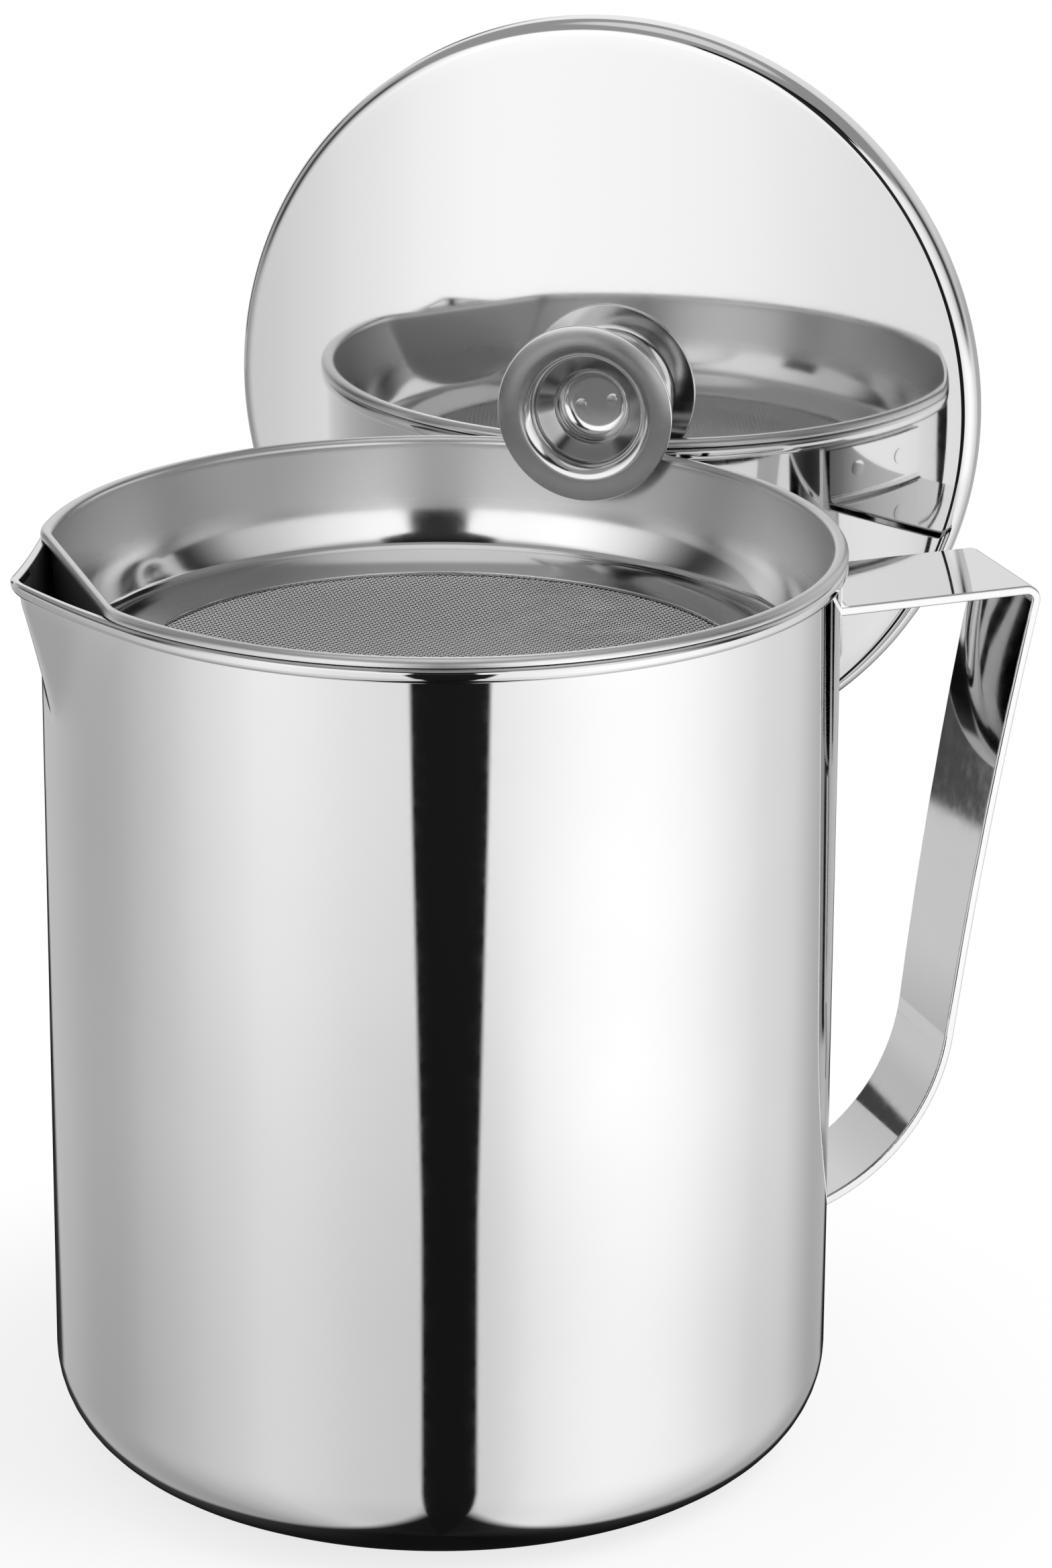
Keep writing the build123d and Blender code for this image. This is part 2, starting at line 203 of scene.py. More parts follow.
# Dark band under the jug, in shares of a direction's length: forward is to the camera's side
BAND_FORWARD = (0.62, -0.4)
BAND_HALF = (0.07, 0.36)           # its half width at those two
BAND_NARROWS = (-0.5, -0.27)       # rises between which it narrows, to this share
BAND_LEAST = 0.4
BAND_SLANT = -0.06
BAND_EDGE = (-0.03, 0.06)
BAND_SIDE = (0.08, 0.6)            # its tone goes up to the sides
BAND_TONE = (0.016, 0.16)
BAND_FRONT = (0.55, 0.75)          # it ends before the camera's side

CEILING_RISE = (0.5, 0.64)
CEILING_TONE = 0.32
CEILING_LIGHT_RISE = (0.9, 0.96)
CEILING_LIGHT_TONE = 0.7

# Dark door behind, on the left; each half size is from its edge's dark to its bright side
DOOR_AZIMUTH = -2.44
DOOR_HALF_WIDTH = (0.135, 0.146)
DOOR_RISE = 0.06
DOOR_HALF_HEIGHT = (0.244, 0.248)
DOOR_TONE = 0.1

EVEN_LIGHT = 0.85                  # what dull surfaces find in every direction
BACKGROUND = 1.0                   # what the camera finds

LAMP_PLACE = Vector((0.9, -0.8, 1.6))
LAMP_SIZE = 1.2
LAMP_POWER = 14.0

FLOOR_RADIUS = 4.0
FLOOR_SIDES = 96
FLOOR_GREY = 0.9
FLOOR_FADE = (0.07, 0.13)          # metres from the jug over which it fades into white
FLOOR_LEAST_WHITE = 0.7            # share of white within the first of those


def around(make, azimuth, stops):
    """Tone by azimuth, from stops in degrees. Halved in the ramp, whose greys end at 1."""
    share = make.span(azimuth, -pi, pi, 0.0, 1.0, smooth=False)
    half = make.ramp(share, [((degree + 180) / 360, tone / 2) for degree, tone in stops])
    return make.times(half, 2.0)


def light_below(make, azimuth, side, forward, rise):
    """The soft boxes below eye level, with the gap between them and the band under the jug."""
    right = make.span(azimuth, *RIGHT_FROM, 0.0, 1.0)
    left = make.span(azimuth, *LEFT_FROM, 1.0, 0.0)
    front = make.span(rise, *DIM_FRONT, 1.0)
    sides = make.span(rise, *DIM_SIDES, 1.0)
    dim = make.blend(make.most(right, left), front, sides)
    dim = make.times(dim, make.span(rise, *DIM_UNDER, 1.0))
    light = make.times(around(make, azimuth, STUDIO_LOW), dim)

    behind = make.times(
        make.span(azimuth, *BACK_WALL_AZIMUTH, 1.0, 0.0),
        make.span(rise, *BACK_WALL_RISE, 0.0, 1.0),
    )
    light = make.times(light, make.math("MULTIPLY_ADD", behind, BACK_WALL_MORE, 1.0))

    half = make.span(rise, *GAP_WIDENS, GAP_LOWER_HALF, GAP_UPPER_HALF, smooth=False)
    edge = make.math("SUBTRACT", make.distance(azimuth, GAP_CENTRE), half)
    beside_gap = make.span(edge, *GAP_EDGE, GAP_TONE, 1.0)

    half = make.span(forward, *BAND_FORWARD, *BAND_HALF, smooth=False)
    half = make.times(half, make.span(rise, *BAND_NARROWS, 1.0, BAND_LEAST))
    off = make.math("ABSOLUTE", make.math("MULTIPLY_ADD", forward, BAND_SLANT, side))
    tone = make.span(make.math("ABSOLUTE", side), *BAND_SIDE, *BAND_TONE)
    beside_band = make.span(make.math("SUBTRACT", off, half), *BAND_EDGE, tone, 1.0)
    in_front = make.span(forward, *BAND_FRONT, 0.0, 1.0)
    shade = make.math("MINIMUM", beside_gap, make.most(beside_band, in_front))
    return make.times(light, shade)


def light_above(make, azimuth, rise):
    """The soft boxes above eye level, under a dark ceiling with a light in its middle."""
    walls = around(make, azimuth, STUDIO_HIGH)
    light = make.blend(make.span(rise, *CEILING_RISE, 0.0, 1.0), walls, CEILING_TONE)
    in_light = make.span(rise, *CEILING_LIGHT_RISE, 0.0, 1.0)
    light = make.blend(in_light, light, CEILING_LIGHT_TONE)

    half = make.span(rise, *GAP_HIGH_WIDENS, GAP_HIGH_HALF, GAP_HIGH_TOP_HALF)
    edge = make.math("SUBTRACT", make.distance(azimuth, GAP_HIGH_CENTRE), half)
    beside_gap = make.span(edge, *GAP_HIGH_EDGE, GAP_HIGH_TONE, 1.0)
    over_gap = make.span(rise, *GAP_HIGH_END, 0.0, 1.0)
    return make.times(light, make.most(beside_gap, over_gap))


def build_world():
    """White behind everything, and for the metal a studio of two soft boxes."""
    world = bpy.data.worlds.new("studio")
    world.use_nodes = True
    scene.world = world
    tree = world.node_tree
    tree.nodes.clear()
    make = Nodes(tree)
    coord = make.add("ShaderNodeTexCoord")
    turned = make.add("ShaderNodeVectorRotate", rotation_type="Z_AXIS", Angle=-CAMERA_AZIMUTH)
    make.wire(coord.outputs["Generated"], turned.inputs["Vector"])
    parts = make.add("ShaderNodeSeparateXYZ")
    make.wire(turned.outputs[0], parts.inputs[0])
    side, depth, rise = parts.outputs
    forward = make.times(depth, -1.0)
    azimuth = make.math("ARCTAN2", side, forward)

    low = light_below(make, azimuth, side, forward, rise)
    high = light_above(make, azimuth, rise)
    above = make.span(rise, -EYE_LEVEL_RISE, EYE_LEVEL_RISE, 0.0, 1.0)
    studio = make.blend(above, low, high)
    beside_door = make.span(make.distance(azimuth, DOOR_AZIMUTH), *DOOR_HALF_WIDTH, 0.0, 1.0)
    over_door = make.span(make.distance(rise, DOOR_RISE), *DOOR_HALF_HEIGHT, 0.0, 1.0)
    door = make.most(beside_door, make.most(over_door, DOOR_TONE))
    studio = make.times(studio, door)

    path = make.add("ShaderNodeLightPath")
    even = make.blend(path.outputs["Is Camera Ray"], EVEN_LIGHT, BACKGROUND)
    strength = make.blend(path.outputs["Is Glossy Ray"], even, studio)
    background = make.add("ShaderNodeBackground", Color=(1.0, 1.0, 1.0, 1.0))
    make.wire(strength, background.inputs["Strength"])
    output = make.add("ShaderNodeOutputWorld")
    make.wire(background.outputs[0], output.inputs["Surface"])


def build_lamp():
    """One broad soft lamp from the upper right of the camera, for the shadow on the floor."""
    data = bpy.data.lights.new("key", "AREA")
    data.shape = "DISK"
    data.size = LAMP_SIZE
    data.energy = LAMP_POWER
    lamp = bpy.data.objects.new("key", data)
    turn = LAMP_PLACE.to_track_quat("Z", "Y").to_matrix().to_4x4()
    lamp.matrix_world = Matrix.Translation(LAMP_PLACE) @ turn
    lamp.visible_glossy = False
    scene.collection.objects.link(lamp)


def build_floor():
    """Pale round floor that keeps the object's shadow and fades into white."""
    mesh = bpy.data.meshes.new("floor")
    shape = bmesh.new()
    bmesh.ops.create_circle(shape, cap_ends=True, segments=FLOOR_SIDES, radius=FLOOR_RADIUS)
    shape.to_mesh(mesh)
    shape.free()
    floor = bpy.data.objects.new("floor", mesh)
    floor.visible_glossy = False
    scene.collection.objects.link(floor)
    material = bpy.data.materials.new("pale_floor")
    material.use_nodes = True
    tree = material.node_tree
    tree.nodes.clear()
    make = Nodes(tree)
    matt = make.add("ShaderNodeBsdfDiffuse", Color=(FLOOR_GREY, FLOOR_GREY, FLOOR_GREY, 1.0))
    white = make.add("ShaderNodeEmission", Color=(1.0, 1.0, 1.0, 1.0), Strength=1.0)
    path = make.add("ShaderNodeLightPath")
    seen = make.most(path.outputs["Is Camera Ray"], path.outputs["Is Glossy Ray"])
    seen = make.most(seen, path.outputs["Is Transmission Ray"])
    coord = make.add("ShaderNodeTexCoord")
    length = make.add("ShaderNodeVectorMath", operation="LENGTH")
    make.wire(coord.outputs["Object"], length.inputs[0])
    fade = make.span(length.outputs["Value"], *FLOOR_FADE, FLOOR_LEAST_WHITE, 1.0)
    mix = make.add("ShaderNodeMixShader")
    make.wire(make.times(seen, fade), mix.inputs[0])
    make.wire(matt.outputs[0], mix.inputs[1])
    make.wire(white.outputs[0], mix.inputs[2])
    output = make.add("ShaderNodeOutputMaterial")
    make.wire(mix.outputs[0], output.inputs["Surface"])
    mesh.materials.append(material)


# ---- Materials --------------------------------------------------------------------------
# Grains: the bump's strength, its scale and its height in millimetres
MIRROR_GRAIN = (0.02, 90.0, 0.02)
PRESSED_GRAIN = (0.02, 90.0, 0.01)
SATIN_GRAIN = (0.02, 1500.0, 0.01)
HOLLOW_GRAIN = (0.05, 1500.0, 0.01)
WIRE_GRAIN = (0.05, 2500.0, 0.01)
GRAIN_DETAIL = (2.0, 0.5)          # detail and roughness of each grain's noise

# Polishes: the least and the most roughness
MIRROR_POLISH = (0.03, 0.06)
COVER_POLISH = (0.03, 0.05)
WIRE_POLISH = (0.05, 0.08)
BOWL_POLISH = (0.09, 0.12)
KNOB_POLISH = (0.12, 0.15)
HOLLOW_POLISH = (0.3, 0.4)

# Noises behind polish and mottles: scale, detail and roughness, and the range that is used
POLISH_NOISE = (420.0, 2.0, 0.6)
POLISH_RANGE = (0.25, 0.75)
MOTTLE_NOISE = (38.0, 3.0, 0.55)
MOTTLE_RANGE = (0.3, 0.7)

# Greys, and the share that each varies by
MIRROR_GREY = (0.76, 0.02)
# The jug's inside is painted shade: a darker grey than the outside's for the same steel
HOLLOW_PAINTED_SHADE_GREY = (0.45, 0.05)
# The warp wires are painted light and the weft wires painted shade: the same steel in a lighter and
# a darker grey
WARP_PAINTED_LIGHT_GREY = (0.96, 0.02)
WEFT_PAINTED_SHADE_GREY = (0.5, 0.02)

# Painted reflection on the lid's cover: tones from its left edge (0) to its right edge (1), darkest
# at the left edge and lightest in the middle
COVER_REACH = 65.0
COVER_PAINTED_REFLECTION_TONES = [
    (0.0, 0.5), (0.085, 0.57), (0.15, 0.66), (0.24, 0.77), (0.33, 0.86), (0.5, 0.88),
    (0.68, 0.85), (0.81, 0.77), (1.0, 0.74),
]
# Painted shade on the knob, darkest in a ring between its cup's floor and its flange: tones by
# distance from the middle of the lid's face, in shares of its reach
KNOB_REACH = 20.0
KNOB_PAINTED_SHADE_TONES = [
    (0.0, 0.84), (0.28, 0.84), (0.34, 0.5), (0.5, 0.4), (0.56, 0.7), (0.62, 0.78), (1.0, 0.78),
]
# Painted reflection on the bowl: tones from its left side (0) to its right side (1), along a line
# turned from +X, lighter in the middle and darker to either side
BOWL_REACH = 60.0
BOWL_TURN = radians(-19.0)
BOWL_PAINTED_REFLECTION_TONES = [
    (0.0, 0.7), (0.1, 0.69), (0.2, 0.63), (0.28, 0.64), (0.38, 0.8), (0.48, 0.87), (0.6, 0.87),
    (0.68, 0.86), (0.79, 0.69), (0.9, 0.64), (1.0, 0.64),
]
DULL_START = 133.5                 # the bowl's wall is duller from here up
DULL_END = 139.5
DULL_MORE = 0.21                   # roughness that is added above


def noise(make, coord, scale, detail, roughness):
    """Output of a noise on the object's own coordinates."""
    texture = make.add("ShaderNodeTexNoise", Scale=scale, Detail=detail, Roughness=roughness)
    make.wire(coord.outputs["Object"], texture.inputs["Vector"])
    return texture.outputs[0]


def bare_steel(name, polish, grain):
    """Steel with a polish that varies a little and a fine grain, and no tone of its own yet."""
    material = bpy.data.materials.new(name)
    material.use_nodes = True
    tree = material.node_tree
    make = Nodes(tree)
    shader = tree.nodes["Principled BSDF"]
    shader.inputs["Metallic"].default_value = 1.0
    coord = make.add("ShaderNodeTexCoord")
    fine = noise(make, coord, *POLISH_NOISE)
    roughness = make.span(fine, *POLISH_RANGE, *polish, smooth=False)
    make.wire(roughness, shader.inputs["Roughness"])
    strength, scale, height = grain
    bump = make.add("ShaderNodeBump", Strength=strength, Distance=height * MM)
    make.wire(noise(make, coord, scale, *GRAIN_DETAIL), bump.inputs["Height"])
    make.wire(bump.outputs[0], shader.inputs["Normal"])
    return material


def even_steel(name, grey, polish, grain):
    """Steel of one grey, with soft mottles that are darker by a small share."""
    material = bare_steel(name, polish, grain)
    tree = material.node_tree
    make = Nodes(tree)
    coord = make.add("ShaderNodeTexCoord")
    most, mottle = grey
    low, high = MOTTLE_RANGE
    stops = [(low, most * (1 - mottle)), (high, most)]
    tone = make.ramp(noise(make, coord, *MOTTLE_NOISE), stops)
    make.wire(tone, tree.nodes["Principled BSDF"].inputs["Base Color"])
    return material


def toned_steel(name, polish, grain, measure, vector, start, end, tones):
    """Steel whose tone, which is painted light and shade, follows one measure of each place, from
    start to end in millimetres.

    measure is the vector operation that gives it, with vector: DISTANCE or DOT_PRODUCT.
    """
    material = bare_steel(name, polish, grain)
    tree = material.node_tree
    make = Nodes(tree)
    coord = make.add("ShaderNodeTexCoord")
    measured = make.add("ShaderNodeVectorMath", operation=measure)
    make.wire(coord.outputs["Object"], measured.inputs[0])
    measured.inputs[1].default_value = vector
    share = make.span(measured.outputs["Value"], start * MM, end * MM, 0.0, 1.0, smooth=False)
    make.wire(make.ramp(share, tones), tree.nodes["Principled BSDF"].inputs["Base Color"])
    return material


def bowl_steel_with_painted_reflection():
    """The bowl's dull-polished finish, with a painted reflection in its tone that is lighter in the
    middle, and duller on the upper wall.
    """
    across = Vector((cos(BOWL_TURN), sin(BOWL_TURN), 0.0))
    material = toned_steel(
        "satin_steel", BOWL_POLISH, SATIN_GRAIN, "DOT_PRODUCT", across,
        -BOWL_REACH, BOWL_REACH, BOWL_PAINTED_REFLECTION_TONES,
    )
    tree = material.node_tree
    make = Nodes(tree)
    coord = make.add("ShaderNodeTexCoord")
    parts = make.add("ShaderNodeSeparateXYZ")
    make.wire(coord.outputs["Object"], parts.inputs[0])
    duller = make.span(parts.outputs["Z"], DULL_START * MM, DULL_END * MM, 0.0, DULL_MORE)
    roughness = tree.nodes["Principled BSDF"].inputs["Roughness"]
    make.wire(make.math("ADD", roughness.links[0].from_socket, duller), roughness)
    return material


def dress(node, material):
    """Gives a CAD node its finish."""
    for material_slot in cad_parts[node].material_slots:
        material_slot.material = material


# ---- Sizes of the turned and pressed sheet ----------------------------------------------
# Millimetres, as in the CAD source, but for some rounds and the curve of the bowl's wall
BODY_RADIUS = 61.7
BODY_WALL = 0.6
BASE_CORNER = 15.5
RIM_HEIGHT = 146.0
RIM_INNER_ROUND = 0.25
BEAD_HEIGHT = 2.3
BEAD_PROUD = 1.0
BEAD_ROUND = 0.9
BEAD_RADIUS = BODY_RADIUS + BEAD_PROUD
BEAD_BASE = RIM_HEIGHT - BEAD_HEIGHT
INSIDE_TOP = RIM_HEIGHT - 0.5      # the jug's inside has its own rougher finish and darker, painted-shade grey up to here
SPOUT_REACH = 5.5
SPOUT_DEPTH = 23.0
SPOUT_BASE = RIM_HEIGHT - SPOUT_DEPTH
SPOUT_FALL = 1.2                   # power by which the spout fades downwards
SPOUT_TIP_ROUND = 5.5
SPOUT_FOOT_ROUND = 16.0
SPOUT_RISE = 1.3
SPOUT_RISE_LENGTH = 9.5
SPOUT_RISE_START = BEAD_RADIUS + SPOUT_REACH - SPOUT_RISE_LENGTH

LIP_BASE = 146.25
LIP_TOP = 147.5
LIP_WIDTH = 2.45
LIP_OUTER_ROUND = 1.1
LIP_INNER_ROUND = 1.1
LIP_CHORD = 58.05                  # straight lip at the spout, from the jug's axis
LIP_TURN = radians(178.0)
LIP_NARROWING = 0.65
LIP_CORNER_ROUND = 14.0
BOWL_RADIUS = BEAD_RADIUS - LIP_WIDTH
BOWL_WALL = 0.5
BOWL_FOOT_RADIUS = 56.3
BOWL_FOOT_Z = 129.7
BOWL_KNEE = 0.38                   # share of the wall's height where its curve eases
BOWL_FOOT_SLOPE = 0.56             # how fast the wall spreads just above its foot
BOWL_KNEE_SLOPE = 0.19
BOWL_CORNER_ROUND = 1.6
BOWL_OPENING = 47.3
BOWL_OPENING_ROUND = 0.2
OPENING_EDGE = 1.0                 # the floor this close to its opening stays round
BOWL_FLOOR_FALL = 1.3

COVER_RADIUS = 62.3
COVER_WALL = 0.6
COVER_CROWN = 2.1
COVER_SKIRT = 5.8
COVER_HEM = 2.2
COVER_EDGE_ROUND = 2.4
COVER_HEM_ROUND = 0.9
# The knob's half section in (radius, height), from the middle of its cup out and back
KNOB_INSIDE = [(0.0, 0.6), (5.95, 0.6), (5.95, 3.6), (8.9, 5.6), (8.9, 8.5), (14.65, 8.5)]
KNOB_OUTSIDE = [(14.65, 7.9), (9.5, 7.9), (9.5, 5.281), (6.55, 3.281), (6.55, 0.0), (0.0, 0.0)]
KNOB_ROUNDS = [2.1, 1.2, 0.7, 2.4, 0.25, 0.25, 1.8, 1.3, 0.6, 1.4]
PIP_RADIUS = 0.95
PIP_HEIGHT = 0.3
PIP_BASE = 0.62
PIP_SPREAD = 2.7
PIP_TURN = radians(103.0)
MARK_ROUND = 0.4                   # edge round of a weld mark, as a share of its height
WELD_RADIUS = 1.4
WELD_HEIGHT = 0.06
WELD_SPREAD = 5.5
STRAP_THICKNESS = 1.5
STRAP_GAP = 0.04                   # between the body and the handle's flanges
FLANGE_RADIUS = BODY_RADIUS + STRAP_GAP + STRAP_THICKNESS
HANG_AZIMUTH = radians(54.9)
HANG_YAW = radians(7.0)
HANG_OFFSET = 63.1
HANG_HEIGHT = 154.25

# ---- How finely the sheet is divided ----------------------------------------------------
TURN_STEPS = 480
KNOB_STEPS = 240
MARK_STEPS = 48
JUG_ROUND = 14                     # segments of each rounded corner
BOWL_ROUND = 10
COVER_ROUND = 10
KNOB_ROUND = 8
MARK_ROUND_SEGMENTS = 5
SPOUT_PIECES = 24
WALL_PIECES = 26
CROWN_PIECES = 24
LONG_EDGE = 0.6                    # share of the height or radius that a divided edge spans
CREASE = radians(32.0)             # sharper edges than this show as creases
SLACK = 0.01                       # a height this far below another counts as level with it
TOUCH = 1e-4
MERGE = 1e-3


def section(points, rounds, segments):
    """Bmesh with one half section in the XZ plane, its inner corners rounded by their radius."""
    shape = bmesh.new()
    verts = [shape.verts.new((across * MM, 0.0, up * MM)) for across, up in points]
    for first, second in zip(verts, verts[1:]):
        shape.edges.new((first, second))
    for before, corner, after, radius in zip(points, points[1:], points[2:], rounds):
        if radius == 0:
            continue
        came = Vector(corner) - Vector(before)
        left = Vector(after) - Vector(corner)
        place = Vector((corner[0] * MM, 0.0, corner[1] * MM))
        vert = min(shape.verts, key=lambda item: (item.co - place).length)
        bmesh.ops.bevel(
            shape, geom=[vert], affect="VERTICES",
            offset=radius * MM * tan(came.angle(left) / 2),
            segments=segments, profile=0.5, material=-1,
        )
    return shape


def divide(shape, low, high, pieces, steep=True):
    """Cuts the section's long edges between two heights, or two radii, into short ones."""
    axis = 2 if steep else 0
    least, most = (low - TOUCH) * MM, (high + TOUCH) * MM
    chosen = [
        edge for edge in shape.edges
        if all(least < vert.co[axis] < most for vert in edge.verts)
        and edge.calc_length() > LONG_EDGE * (high - low) * MM
    ]
    bmesh.ops.subdivide_edges(shape, edges=chosen, cuts=pieces - 1)


def turn_round(shape, steps):
    """Full turn of a section about the Z axis, with its seam and poles closed."""
    bmesh.ops.spin(
        shape, geom=shape.verts[:] + shape.edges[:], cent=(0, 0, 0), axis=(0, 0, 1),
        angle=2 * pi, steps=steps, use_merge=True, dvec=(0, 0, 0),
    )
    bmesh.ops.remove_doubles(shape, verts=shape.verts, dist=MERGE * MM)
    bmesh.ops.recalc_face_normals(shape, faces=shape.faces)


def smooth_object(name, shape, materials):
    """Turns the bmesh into a smooth object at the origin."""
    for face in shape.faces:
        face.smooth = True
    mesh = bpy.data.meshes.new(name)
    shape.to_mesh(mesh)
    shape.free()
    for material in materials:
        mesh.materials.append(material)
    piece = bpy.data.objects.new(name, mesh)
    scene.collection.objects.link(piece)
    return piece


def finish_piece(name, shape, body, materials):
    """Turns the bmesh into a piece that rides on a body: smooth, with its creases kept sharp."""
    for edge in shape.edges:
        edge.smooth = edge.calc_face_angle(0.0) < CREASE
    piece = smooth_object(name, shape, materials)
    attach(piece, body)
    return piece


# ---- Jug --------------------------------------------------------------------------------
def spout_radius(away, share, skin):
    """Radius of the jug's plan at an angle from the spout's middle, skin inside the wall."""
    wall = BODY_RADIUS - skin
    tip = SPOUT_FOOT_ROUND + (SPOUT_TIP_ROUND - SPOUT_FOOT_ROUND) * share - skin
    centre = wall + SPOUT_REACH * share**SPOUT_FALL - tip
    flank = acos(min(1.0, (wall - tip) / centre))
    if away >= flank:
        return wall
    if away > atan2(tip * sin(flank), centre + tip * cos(flank)):
        return wall / cos(flank - away)
    return centre * cos(away) + sqrt(max(0.0, tip**2 - (centre * sin(away)) ** 2))


def press_spout(shape):
    """Presses the spout out of the round wall and lets the rim climb to its tip."""
    climb_round = (SPOUT_RISE_LENGTH**2 + SPOUT_RISE**2) / (2 * SPOUT_RISE)
    for vert in shape.verts:
        height = vert.co.z / MM
        radius = Vector(vert.co.xy).length / MM
        share = min(1.0, (height - RIM_HEIGHT + SPOUT_DEPTH) / SPOUT_DEPTH)
        if share <= 0 or radius < BODY_RADIUS / 2:
            continue
        away = atan2(abs(vert.co.y), -vert.co.x)
        grown = spout_radius(away, share, BODY_RADIUS - radius) / radius
        vert.co.x *= grown
        vert.co.y *= grown
        beyond = -vert.co.x / MM - SPOUT_RISE_START
        if height > BEAD_BASE - SLACK and beyond > 0:
            vert.co.z += MM * (climb_round - sqrt(max(0.0, climb_round**2 - beyond**2)))


def faces_inwards(face):
    """Whether a face of the jug's wall looks at its axis, or one of its floor looks up."""
    middle = face.calc_center_median()
    outwards = Vector((middle.x, middle.y, -BODY_WALL / 2 * MM))
    return middle.z > BODY_WALL / 2 * MM and face.normal.dot(outwards) < 0


def jug_sheet(outside, inside):
    """The drawn jug with its bead and spout."""
    inner = BODY_RADIUS - BODY_WALL
    shape = section(
        [
            (0.0, 0.0), (BODY_RADIUS, 0.0), (BODY_RADIUS, SPOUT_BASE), (BODY_RADIUS, BEAD_BASE),
            (BEAD_RADIUS, BEAD_BASE), (BEAD_RADIUS, RIM_HEIGHT), (inner, RIM_HEIGHT),
            (inner, SPOUT_BASE), (inner, BODY_WALL), (0.0, BODY_WALL),
        ],
        [
            BASE_CORNER, 0, 0, BEAD_ROUND, BEAD_ROUND, RIM_INNER_ROUND, 0,
            BASE_CORNER - BODY_WALL,
        ],
        JUG_ROUND,
    )
    divide(shape, SPOUT_BASE, RIM_HEIGHT, SPOUT_PIECES)
    turn_round(shape, TURN_STEPS)
    press_spout(shape)
    # Inside faces below the rim take the darker steel, whose grey is painted shade
    for face in shape.faces:
        below_rim = face.calc_center_median().z < INSIDE_TOP * MM
        face.material_index = 1 if faces_inwards(face) and below_rim else 0
    return finish_piece("jug_sheet", shape, "jug", [outside, inside])


# ---- Strainer bowl ----------------------------------------------------------------------
def lip_radius(away, inset):
    """Radius of the strainer's plan at an angle from the middle of its straight stretch."""
    round_radius = BEAD_RADIUS - inset
    chord = LIP_CHORD - inset * LIP_NARROWING
    corner = LIP_CORNER_ROUND - inset
    corner_x = chord - corner
    corner_y = sqrt((round_radius - corner) ** 2 - corner_x**2)
    if away >= atan2(corner_y, corner_x):
        return round_radius
    if away <= atan2(corner_y, chord):
        return chord / cos(away)
    along = corner_x * cos(away) + corner_y * sin(away)
    across = corner_x * sin(away) - corner_y * cos(away)
    return along + sqrt(corner**2 - across**2)


def cut_lip_straight(shape):
    """Moves the round lip and the wall under it in to the straight stretch at the spout."""
    for vert in shape.verts:
        outside = any(
            face.normal.dot(Vector((vert.co.x, vert.co.y, 0.0))) > 0 for face in vert.link_faces
        )
        vert.tag = outside
    for vert in shape.verts:
        radius = Vector(vert.co.xy).length / MM
        if radius < BOWL_OPENING + OPENING_EDGE:
            continue
        away = abs(atan2(vert.co.y, vert.co.x) - LIP_TURN)
        away = min(away, 2 * pi - away)
        if vert.co.z > (LIP_BASE - SLACK) * MM:
            wanted = lip_radius(away, BEAD_RADIUS - radius)
        elif vert.tag:
            wanted = min(radius, lip_radius(away, LIP_WIDTH - BOWL_WALL))
        else:
            wanted = min(radius, lip_radius(away, LIP_WIDTH))
        vert.co.x *= wanted / radius
        vert.co.y *= wanted / radius


def bow_wall(shape):
    """Curves the bowl's straight wall up from its foot, and more gently from its knee on."""
    rise = LIP_BASE - BOWL_FOOT_Z
    even = (BOWL_RADIUS - BOWL_FOOT_RADIUS) / rise
    to_knee = BOWL_KNEE * (BOWL_FOOT_SLOPE + BOWL_KNEE_SLOPE) / 2
    lip_slope = 2 * (even - to_knee) / (1 - BOWL_KNEE) - BOWL_KNEE_SLOPE
    for vert in shape.verts:
        share = (vert.co.z / MM - BOWL_FOOT_Z) / rise
        if 0 < share <= BOWL_KNEE:
            easing = (BOWL_FOOT_SLOPE - BOWL_KNEE_SLOPE) * share**2 / (2 * BOWL_KNEE)
            spread = BOWL_FOOT_SLOPE * share - easing
            vert.co.x += (spread - even * share) * rise * MM
        elif BOWL_KNEE < share < 1:
            beyond = share - BOWL_KNEE
            easing = (BOWL_KNEE_SLOPE - lip_slope) * beyond**2 / (2 * (1 - BOWL_KNEE))
            spread = to_knee + BOWL_KNEE_SLOPE * beyond - easing
            vert.co.x += (spread - even * share) * rise * MM


def bowl_sheet(material):
    """The pressed bowl of the strainer with its curled lip."""
    floor = BOWL_FOOT_Z - BOWL_FLOOR_FALL
    outer = BOWL_RADIUS + BOWL_WALL
    outer_foot = BOWL_FOOT_RADIUS + BOWL_WALL
    shape = section(
        [
            (outer, LIP_BASE), (BEAD_RADIUS, LIP_BASE), (BEAD_RADIUS, LIP_TOP),
            (BOWL_RADIUS, LIP_TOP), (BOWL_RADIUS, LIP_BASE), (BOWL_FOOT_RADIUS, BOWL_FOOT_Z),
            (BOWL_OPENING, floor), (BOWL_OPENING, floor - BOWL_WALL),
            (outer_foot, BOWL_FOOT_Z - BOWL_WALL), (outer, LIP_BASE),
        ],
        [
            0, LIP_OUTER_ROUND, LIP_INNER_ROUND, 0, BOWL_CORNER_ROUND, BOWL_OPENING_ROUND, 0,
            BOWL_CORNER_ROUND + BOWL_WALL,
        ],
        BOWL_ROUND,
    )
    divide(shape, BOWL_FOOT_Z - BOWL_WALL, LIP_BASE, WALL_PIECES)
    bow_wall(shape)
    turn_round(shape, TURN_STEPS)
    cut_lip_straight(shape)
    return finish_piece("bowl_sheet", shape, "strainer", [material])


# ---- Lid --------------------------------------------------------------------------------
def lid_place():
    """Centre of the hanging lid's face in millimetres, and the way that it looks."""
    away = Vector((cos(HANG_AZIMUTH), sin(HANG_AZIMUTH), 0.0))
    across = Vector((sin(HANG_AZIMUTH), -cos(HANG_AZIMUTH), 0.0))
    height = Vector((0, 0, HANG_HEIGHT))
    centre = away * HANG_OFFSET + across * HANG_OFFSET * tan(HANG_YAW) + height
    return centre, -away


